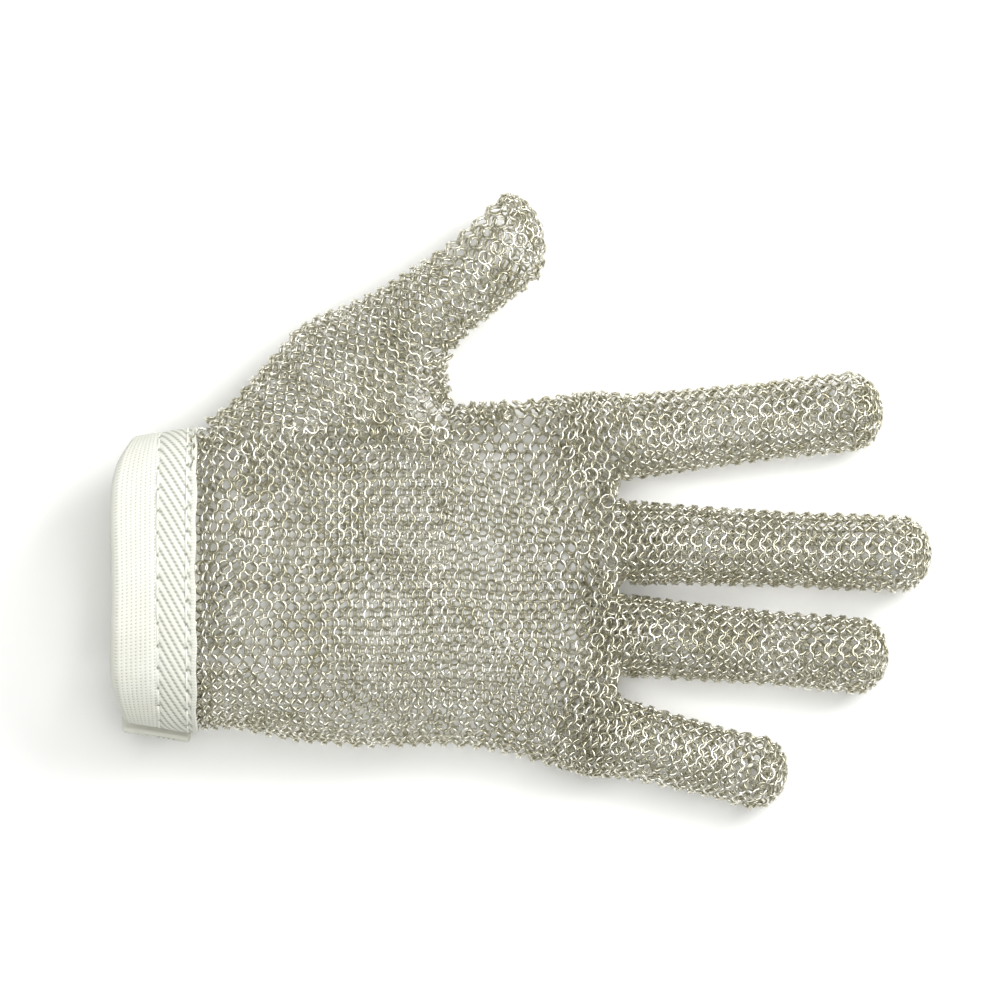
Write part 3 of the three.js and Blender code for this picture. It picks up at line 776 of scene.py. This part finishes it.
def seam_rings(path, front):
    """Rings along a line on the surface. They lean forwards and backwards in turn."""
    along = np.gradient(path, axis=0)
    along = np.column_stack([along / np.linalg.norm(along, axis=1)[:, None], np.zeros(len(path))])
    height = np.linspace(24, 46, LEVELS) if front > 0 else np.linspace(16, -2, LEVELS)
    found = []
    for x, y in path:
        column = np.column_stack([np.full(LEVELS, x), np.full(LEVELS, y), height])
        away = glove_distance(column) + SKIN
        found.append(column[np.argmax(away > 0)])
    centres = np.array(found)
    return (centres, *orient(centres, np.arange(len(centres)), along, SEAM_LEAN))


seam_x = np.arange(-78.5, -19, SEAM_PITCH)
for side, front in (("palm", 1), ("back", -1)):
    path = np.column_stack([seam_x, crease(seam_x)])
    steel_piece(f"{side}_thumb_seam_rings", seam_rings(path, front), [], "hand")


# ---------------------------------------------------------------- wrist band
# White cotton herringbone tape, folded over the edge of the mesh and sewn through all layers.
# The twill turns at the middle of each face, and a bumpy selvedge runs along the front edge.
WRIST_CENTRE = np.array([-19.42, 24.8])
BAND_FRONT = -80.02
BAND_BACK = -101.02
BAND_HALF = np.array([37.9, 20.0])
BAND_TAPER = np.array([0.17, 0.085])
PLY = 1.1
PLIES = 4.8
FOLD_ROUND = PLIES / 2
SLIT_HALF = 1.5
CHEVRON = 11.9
SELVEDGE = 19.8
STITCH_ROWS = {"front": -82.32, "centre": -89.42}
STITCH_PITCH = 5.6
PUCKER = 0.3


def around_wrist(x, angle, offset):
    """Points around the wrist, at a distance outside the band's face."""
    half = BAND_HALF - BAND_TAPER * (BAND_FRONT - x)[..., None] + offset[..., None]
    y = WRIST_CENTRE[0] + half[..., 0] * np.cos(angle)
    z = WRIST_CENTRE[1] + half[..., 1] * np.sin(angle)
    return np.stack([x + 0 * y, y, z], axis=-1)


RIM_STEPS = 4001
turn_table = np.linspace(SLIT_ANGLE - 2 * math.pi, SLIT_ANGLE, RIM_STEPS)
rim = around_wrist(np.full(RIM_STEPS, (BAND_FRONT + BAND_BACK) / 2), turn_table, np.zeros(RIM_STEPS))
girth_table = np.concatenate([[0], np.cumsum(np.linalg.norm(np.diff(rim, axis=0), axis=1))])


RIB = 1.15
PICK = 0.9


def twill(u, v):
    """Height of the woven face, 0 to 1, at u across the tape and v along it."""
    a = u / RIB
    b = v / PICK + 0.3 * a
    dots = np.maximum(-np.cos(2 * math.pi * a), 0) * np.maximum(-np.cos(2 * math.pi * b), 0)
    fine = 1 - 0.9 * dots ** 0.55
    c = (v - 1.75 * (u - CHEVRON)) / 3.3
    groove = (0.5 + 0.5 * np.cos(2 * math.pi * c)) ** 1.6
    picks = 0.5 + 0.5 * np.cos(2 * math.pi * v / PICK)
    bold = 1 - groove * (0.55 + 0.45 * picks) - 0.1 * picks
    edge = 0.8 + 0.2 * np.cos(2 * math.pi * v / 0.85)
    height = np.where(u < CHEVRON, fine, np.where(u < SELVEDGE, bold, edge))
    height = height - 0.15 * np.exp(-(((u - CHEVRON) / 0.3) ** 2))
    height = height - 0.2 * np.exp(-(((u - SELVEDGE) / 0.2) ** 2))
    return np.clip(height, 0, 1)


def grid_faces(rows, columns, closed):
    """Quads of a grid whose columns may close on themselves."""
    i = np.arange(rows - 1)[:, None]
    j = np.arange(columns if closed else columns - 1)[None, :]
    k = (j + 1) % columns
    return np.stack([
        i * columns + j, i * columns + k, (i + 1) * columns + k, (i + 1) * columns + j,
    ], axis=-1).reshape(-1, 4)


def make_piece(name, points, faces, material, attributes=None):
    """A mesh object in millimetres, with named values at its vertices."""
    mesh = bpy.data.meshes.new(name)
    mesh.from_pydata((np.asarray(points).reshape(-1, 3) * MM).tolist(), [], faces)
    mesh.polygons.foreach_set("use_smooth", [True] * len(faces))
    for key, values in (attributes or {}).items():
        mesh.attributes.new(key, "FLOAT", "POINT").data.foreach_set("value", np.asarray(values).ravel())
    mesh.materials.append(material)
    mesh.update()
    piece = bpy.data.objects.new(name, mesh)
    bpy.context.collection.objects.link(piece)
    return piece


# Bleached cotton: matt and soft, with painted shade only between the yarns: the weave's low places,
# carried by the yarn attribute, are darkened in the base colour. The yarns' own twist is too fine
# to show, so a slightly coarser grain stands for it.
cotton = new_material("bleached cotton twill")
yarn = add_node(cotton, "ShaderNodeAttribute", attribute_name="yarn")
cotton_place = add_node(cotton, "ShaderNodeTexCoord")
cotton_space = {"Vector": cotton_place.outputs["Object"]}
fibres = add_node(cotton, "ShaderNodeTexNoise", cotton_space, Scale=2600.0, Detail=4.0)
soiling = add_node(cotton, "ShaderNodeTexNoise", cotton_space, Scale=70.0, Detail=3.0)
# Painted shade: the ramp's dark end darkens the low places of the weave; its light end is the cotton's own
# white.
cotton_white_and_painted_gap_shade = add_node(cotton, "ShaderNodeValToRGB", {"Fac": yarn.outputs["Fac"]})
cotton_white_and_painted_gap_shade.color_ramp.elements[0].color = linear("#969990")
cotton_white_and_painted_gap_shade.color_ramp.elements[1].color = linear("#ebebe5")
cotton_white_and_painted_gap_shade.color_ramp.elements[1].position = 0.8
soil_colour = add_node(cotton, "ShaderNodeValToRGB", {"Fac": soiling.outputs["Fac"]})
soil_colour.color_ramp.elements[0].color = linear("#efefe6")
soil_colour.color_ramp.elements[1].color = linear("#ffffff")
# The painted gap shade multiplied by the real soiling.
soiled_cotton_with_gap_shade = add_node(cotton, "ShaderNodeMix", data_type="RGBA", blend_type="MULTIPLY")
soiled_cotton_with_gap_shade.inputs[0].default_value = 1.0
cotton.node_tree.links.new(cotton_white_and_painted_gap_shade.outputs["Color"], soiled_cotton_with_gap_shade.inputs[6])
cotton.node_tree.links.new(soil_colour.outputs["Color"], soiled_cotton_with_gap_shade.inputs[7])
cotton_bump = add_node(
    cotton, "ShaderNodeBump", {"Height": fibres.outputs["Fac"]}, Strength=0.5, Distance=0.00012,
)
finish_material(
    cotton, {"Base Color": soiled_cotton_with_gap_shade.outputs[2], "Normal": cotton_bump.outputs[0]},
    Roughness=0.9, Sheen_Weight=0.15,
)

# The section of the folded tape, as places along X and offsets from the outer face.
outer_x = np.arange(BAND_FRONT - 0.15, BAND_BACK + FOLD_ROUND, -0.23)
fold_turn = np.linspace(math.pi / 2, 3 * math.pi / 2, 10)
section = [(x, 0.0) for x in outer_x]
section += [
    (BAND_BACK + FOLD_ROUND * (1 + math.cos(t)), -FOLD_ROUND * (1 - math.sin(t))) for t in fold_turn
]
section += [(x, -PLIES) for x in np.linspace(BAND_BACK + FOLD_ROUND + 2, BAND_FRONT - 0.2, 9)]
section += [(BAND_FRONT, -PLIES + 0.5)]
section += [(x, -PLIES + PLY) for x in (BAND_FRONT - 0.2, -90, -97.6)]
section += [(-98.6, -FOLD_ROUND), (-97.6, -PLY), (-90, -PLY), (BAND_FRONT - 0.2, -PLY)]
section += [(BAND_FRONT + 0.02, -0.85), (BAND_FRONT + 0.08, -0.5), (BAND_FRONT + 0.02, -0.2)]
section = np.array(section)
steps = 760
band_v = np.linspace(SLIT_HALF, girth_table[-1] - SLIT_HALF, steps)
grid_x, grid_v = np.meshgrid(section[:, 0], band_v)
grid_angle = np.interp(grid_v, girth_table, turn_table)
grid_offset = np.broadcast_to(section[:, 1], grid_x.shape).copy()
grid_u = grid_x - BAND_BACK
outside = grid_offset > -0.9
# The twill's height shapes the face and, as the yarn attribute, sets the painted shade between the yarns.
height = np.where(outside, twill(grid_u, grid_v), 1.0)
needle = np.zeros_like(height)
for row_x in STITCH_ROWS.values():
    across_row = np.exp(-(((grid_x - row_x) / 1.2) ** 2))
    along_row = (grid_v + 0.5 * STITCH_PITCH) % STITCH_PITCH - 0.5 * STITCH_PITCH
    pull = 0.75 + 0.25 * np.cos(2 * math.pi * grid_v / STITCH_PITCH)
    grid_offset -= np.where(outside, PUCKER * across_row * pull, 0)
    # Needle holes: a real dent in the face, and painted shade in the holes through the yarn attribute.
    needle += np.exp(-(((grid_x - row_x) / 0.24) ** 2) - (along_row / 0.42) ** 2)
height = np.clip(height - 1.6 * needle * outside, -0.6, 1)
grid_offset += np.where(outside, 0.16 * (height - 1), 0)
slack = 0.22 * np.sin(grid_v / 9.3 + 0.6) + 0.16 * np.sin(grid_v / 4.1 + 2) + 0.1 * np.sin(grid_v / 2.3)
grid_offset += slack * np.clip((BAND_FRONT - grid_x) / 12, 0, 1)
edge_share = np.clip((grid_x - BAND_FRONT + 4) / 4, 0, 1)
back_share = np.clip((BAND_FRONT - 9 - grid_x) / 12, 0, 1)
thumb_side = np.maximum(np.cos(grid_angle), 0) ** 7
little_side = np.maximum(-np.cos(grid_angle), 0) ** 7
grid_x = grid_x + edge_share * (0.16 * np.sin(grid_v / 1.9) + 0.12 * np.sin(grid_v / 6.1))
grid_x = grid_x + back_share * (4.2 * thumb_side + 2.6 * little_side + 0.25 * np.sin(grid_v / 7.7))
band_points = around_wrist(grid_x, grid_angle, grid_offset)
count = len(section)
band_faces = grid_faces(steps, count, True).tolist()
band_faces += [list(range(count))[::-1], list(range((steps - 1) * count, steps * count))]
band = make_piece("cuff_tape_folded", band_points, band_faces, cotton, {"yarn": height})
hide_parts("cuff_tape")
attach(band, "hand")


# ---------------------------------------------------------------- stitching
# Two rows of thick white thread through the tape and the mesh. Each stitch rises from its needle
# hole, lies on the tape and goes down at the next.
THREAD_RADIUS = 0.24
STUD_ANGLE = math.radians(220)


def tube(path, radius, sides=7):
    """Points and faces of a round thread along a path, closed at both ends."""
    path = np.asarray(path)
    way = np.gradient(path, axis=0)
    way /= np.linalg.norm(way, axis=1)[:, None]
    side = np.cross(way, [1.0, 0.2, 0.1])
    side /= np.linalg.norm(side, axis=1)[:, None]
    other = np.cross(way, side)
    turn = np.linspace(0, 2 * math.pi, sides, endpoint=False)
    ring = np.cos(turn)[None, :, None] * side[:, None] + np.sin(turn)[None, :, None] * other[:, None]
    points = path[:, None] + radius * ring
    faces = grid_faces(len(path), sides, True)
    last = (len(path) - 1) * sides
    caps = [list(range(sides))[::-1], list(range(last, last + sides))]
    return points.reshape(-1, 3), faces.tolist() + caps


def thread_piece(name, paths, radius, node, body):
    """Separate lengths of thread as one piece."""
    points, faces, total = [], [], 0
    for path in paths:
        more, quads = tube(path, radius)
        points.append(more)
        faces += [[index + total for index in face] for face in quads]
        total += len(more)
    piece = make_piece(name, np.concatenate(points), faces, thread)
    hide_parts(node)
    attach(piece, body)
    return piece


# Spun polyester thread: whiter and a little smoother than the tape, with a twist every 0.6 mm, whose grooves
# are darkened with painted shade.
thread = new_material("spun polyester thread")
thread_place = add_node(thread, "ShaderNodeTexCoord")
twist = add_node(
    thread, "ShaderNodeTexWave", {"Vector": thread_place.outputs["Object"]},
    Scale=520.0, Distortion=2.0, Detail=2.0,
)
# Painted shade: the dark end of this ramp falls in the grooves of the twist.
thread_with_painted_twist_shade = add_node(thread, "ShaderNodeValToRGB", {"Fac": twist.outputs["Fac"]})
thread_with_painted_twist_shade.color_ramp.elements[0].color = linear("#dcdcd2")
thread_with_painted_twist_shade.color_ramp.elements[1].color = linear("#fcfcf8")
thread_bump = add_node(
    thread, "ShaderNodeBump", {"Height": twist.outputs["Fac"]}, Strength=0.6, Distance=0.0001,
)
finish_material(
    thread, {"Base Color": thread_with_painted_twist_shade.outputs["Color"], "Normal": thread_bump.outputs[0]},
    Roughness=0.65, Sheen_Weight=0.1,
)

for row, row_x in STITCH_ROWS.items():
    paths = []
    for place in np.arange(2 * STITCH_PITCH, girth_table[-1] - 3, STITCH_PITCH):
        v = np.linspace(place + 0.3, place + STITCH_PITCH - 0.3, 9)
        angle = np.interp(v, girth_table, turn_table)
        if abs(angle.mean() - STUD_ANGLE) < 0.22:
            continue
        share = np.linspace(0, 1, 9)
        lift = -PUCKER - 0.45 + 0.72 * np.sin(math.pi * share) ** 0.35
        paths.append(around_wrist(np.full(9, row_x), angle, lift))
    thread_piece(f"{row}_row_stitches", paths, THREAD_RADIUS, f"cuff_stitching_{row}", "hand")


# ---------------------------------------------------------------- closing tab
# A second length of the same tape, folded double. It is tacked to the band beside the slit and
# carries the cap and socket of the press stud at its free end.
TAB_X = (BAND_FRONT + BAND_BACK) / 2
TAB_HALF = 8.5
TAB_THICK = 1.6
TAB_LENGTH = 48
TAB_ANGLES = [math.radians(value) for value in (281, 266, 232.6, 201)]


def tab_lift(angle):
    """Height of the tab's inner face above the band."""
    turns = [TAB_ANGLES[3], TAB_ANGLES[2], TAB_ANGLES[1], math.radians(270), TAB_ANGLES[0]]
    return np.interp(angle, turns, [4.2, 4.2, 1.1, 0.9, 0.25])


tab_steps = 190
tab_angle = np.linspace(TAB_ANGLES[0], TAB_ANGLES[3], tab_steps)
tab_half_thick = TAB_THICK / 2
edge_turn = np.linspace(math.pi / 2, -math.pi / 2, 7)
tab_flat = TAB_HALF - tab_half_thick
tab_section = [(x, tab_half_thick) for x in np.arange(-tab_flat, tab_flat, 0.24)]
tab_section += [(tab_flat + tab_half_thick * math.cos(t), tab_half_thick * math.sin(t)) for t in edge_turn]
tab_section += [(x, -tab_half_thick) for x in np.arange(TAB_HALF - 1.5, -TAB_HALF + 1.4, -1.0)]
tab_section += [(-tab_flat - tab_half_thick * math.cos(t), tab_half_thick * math.sin(t)) for t in -edge_turn]
tab_section = np.array(tab_section)
tab_grid_x, tab_grid_angle = np.meshgrid(tab_section[:, 0], tab_angle)
tab_v = np.broadcast_to(np.linspace(0, TAB_LENGTH, tab_steps)[:, None], tab_grid_x.shape)
tab_level = np.broadcast_to(tab_section[:, 1], tab_grid_x.shape).copy()
tab_top = tab_level > 0.5
# The tab's twill height, like the band's, sets painted shade between the yarns.
tab_height = np.where(tab_top, twill((tab_grid_x + TAB_HALF) * 1.4, tab_v), 1.0)
from_end = np.minimum(tab_v, TAB_LENGTH - tab_v)
closing = np.sqrt(np.clip(1 - (1 - np.clip(from_end / 0.9, 0, 1)) ** 2, 0.02, 1))
tab_level = tab_level * closing + np.where(tab_top, 0.14 * (tab_height - 1), 0)
round_end = np.sqrt(np.clip(1 - (np.clip(2.5 - (TAB_LENGTH - tab_v), 0, 2.5) / 2.5) ** 2, 0, 1))
tab_grid_x = tab_grid_x * (1 - 0.1 * (1 - round_end)) + TAB_X
tab_points = around_wrist(tab_grid_x, tab_grid_angle, tab_lift(tab_grid_angle) + tab_half_thick + tab_level)
tab_count = len(tab_section)
tab_faces = grid_faces(tab_steps, tab_count, True).tolist()
tab_last = (tab_steps - 1) * tab_count
tab_faces += [list(range(tab_count))[::-1], list(range(tab_last, tab_last + tab_count))]
tab = make_piece("closing_tab_strip", tab_points, tab_faces, cotton, {"yarn": tab_height})
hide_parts("closing_tab", "tab_anchor")
HINGE_LIFT = 2.8
tab_hinge = around_wrist(np.array(TAB_X), TAB_ANGLES[1] + 0.005, np.array(HINGE_LIFT))
tab_way = around_wrist(np.array(TAB_X), TAB_ANGLES[1] - 0.05, np.array(HINGE_LIFT)) - tab_hinge
tab_way /= np.linalg.norm(tab_way)
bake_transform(tab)

tack = []
for k in range(29):
    angle = math.radians(274 if k % 2 else 271.3)
    tack.append(around_wrist(
        np.array(TAB_X - 6.3 + 0.45 * k), np.array(angle), tab_lift(angle) + TAB_THICK + 0.12,
    ))
thread_piece("tab_bar_tack_thread", [np.array(tack)], 0.26, "tab_bar_tack", "hand")


# ---------------------------------------------------------------- press stud
# Four pressed parts of nickel plated brass: cap and socket riveted through the tab, post and
# rivet through the band.
stud_centre = around_wrist(np.array(TAB_X), np.array(STUD_ANGLE), np.array(0.0))
stud_forward = around_wrist(np.array(TAB_X + 1), np.array(STUD_ANGLE), np.array(0.0)) - stud_centre
stud_around = around_wrist(np.array(TAB_X), np.array(STUD_ANGLE + 0.02), np.array(0.0)) - stud_centre
stud_out = np.cross(stud_around, stud_forward)
stud_out /= np.linalg.norm(stud_out)
stud_side = stud_forward / np.linalg.norm(stud_forward)
stud_other = np.cross(stud_out, stud_side)

# Nickel plate over brass: bright, slightly warm, and rubbed finely dull on its crowns.
nickel = new_material("nickel plated brass")
nickel_place = add_node(nickel, "ShaderNodeTexCoord")
rub = add_node(
    nickel, "ShaderNodeTexNoise", {"Vector": nickel_place.outputs["Object"]}, Scale=700.0, Detail=5.0,
)
nickel_rough = add_node(
    nickel, "ShaderNodeMapRange", {"Value": rub.outputs["Fac"]}, To_Min=0.14, To_Max=0.36,
)
nickel_colour = add_node(nickel, "ShaderNodeValToRGB", {"Fac": rub.outputs["Fac"]})
nickel_colour.color_ramp.elements[0].color = linear("#bdb8ab")
nickel_colour.color_ramp.elements[1].color = linear("#dedacf")
nickel_bump = add_node(
    nickel, "ShaderNodeBump", {"Height": rub.outputs["Fac"]}, Strength=0.1, Distance=0.00005,
)
nickel_links = {
    "Base Color": nickel_colour.outputs["Color"],
    "Roughness": nickel_rough.outputs[0],
    "Normal": nickel_bump.outputs[0],
}
finish_material(nickel, nickel_links, Metallic=1.0)


def spun(name, profile, node, body):
    """A part pressed or turned about the stud's axis, from its radii and heights."""
    profile = np.array(profile, float)
    sides = 56
    turn = np.linspace(0, 2 * math.pi, sides, endpoint=False)
    ring = np.cos(turn)[None, :, None] * stud_side + np.sin(turn)[None, :, None] * stud_other
    points = stud_centre + profile[:, 0][:, None, None] * ring + profile[:, 1][:, None, None] * stud_out
    faces = grid_faces(len(profile), sides, True).tolist()
    last = (len(profile) - 1) * sides
    faces += [list(range(sides))[::-1], list(range(last, last + sides))]
    piece = make_piece(name, points, faces, nickel)
    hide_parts(node)
    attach(piece, body)


dome = [(6.2 * math.cos(t), 6.35 + 1.25 * math.sin(t)) for t in np.linspace(0.02, 1.5, 14)]
spun("cap_dome", [
    (1.6, 3.9), (1.6, 5.7), (5.9, 5.75), (6.18, 5.9), (6.24, 6.15), *dome,
], "stud_cap", "closing_tab")
spun("socket_ring", [
    (2.75, 1.75), (3.4, 1.6), (4.2, 1.65), (4.7, 2.0), (4.8, 2.5),
    (4.75, 3.15), (3.0, 3.18), (2.75, 2.9), (2.68, 2.3), (2.74, 1.8),
], "stud_socket", "closing_tab")
spun("post_head", [
    (1.6, -4.5), (1.6, 0.35), (4.9, 0.42), (5.05, 0.75), (4.9, 1.1), (2.4, 1.35), (1.75, 1.6),
    (1.7, 2.05), (2.0, 2.3), (2.12, 2.55), (2.0, 2.85), (1.6, 3.1), (0.6, 3.22),
], "stud_post", "hand")
spun("rivet_head", [
    (0.6, -6.35), (3.6, -6.3), (4.15, -6.1), (4.2, -5.8), (4.0, -5.55), (0.6, -5.5),
], "stud_rivet", "hand")
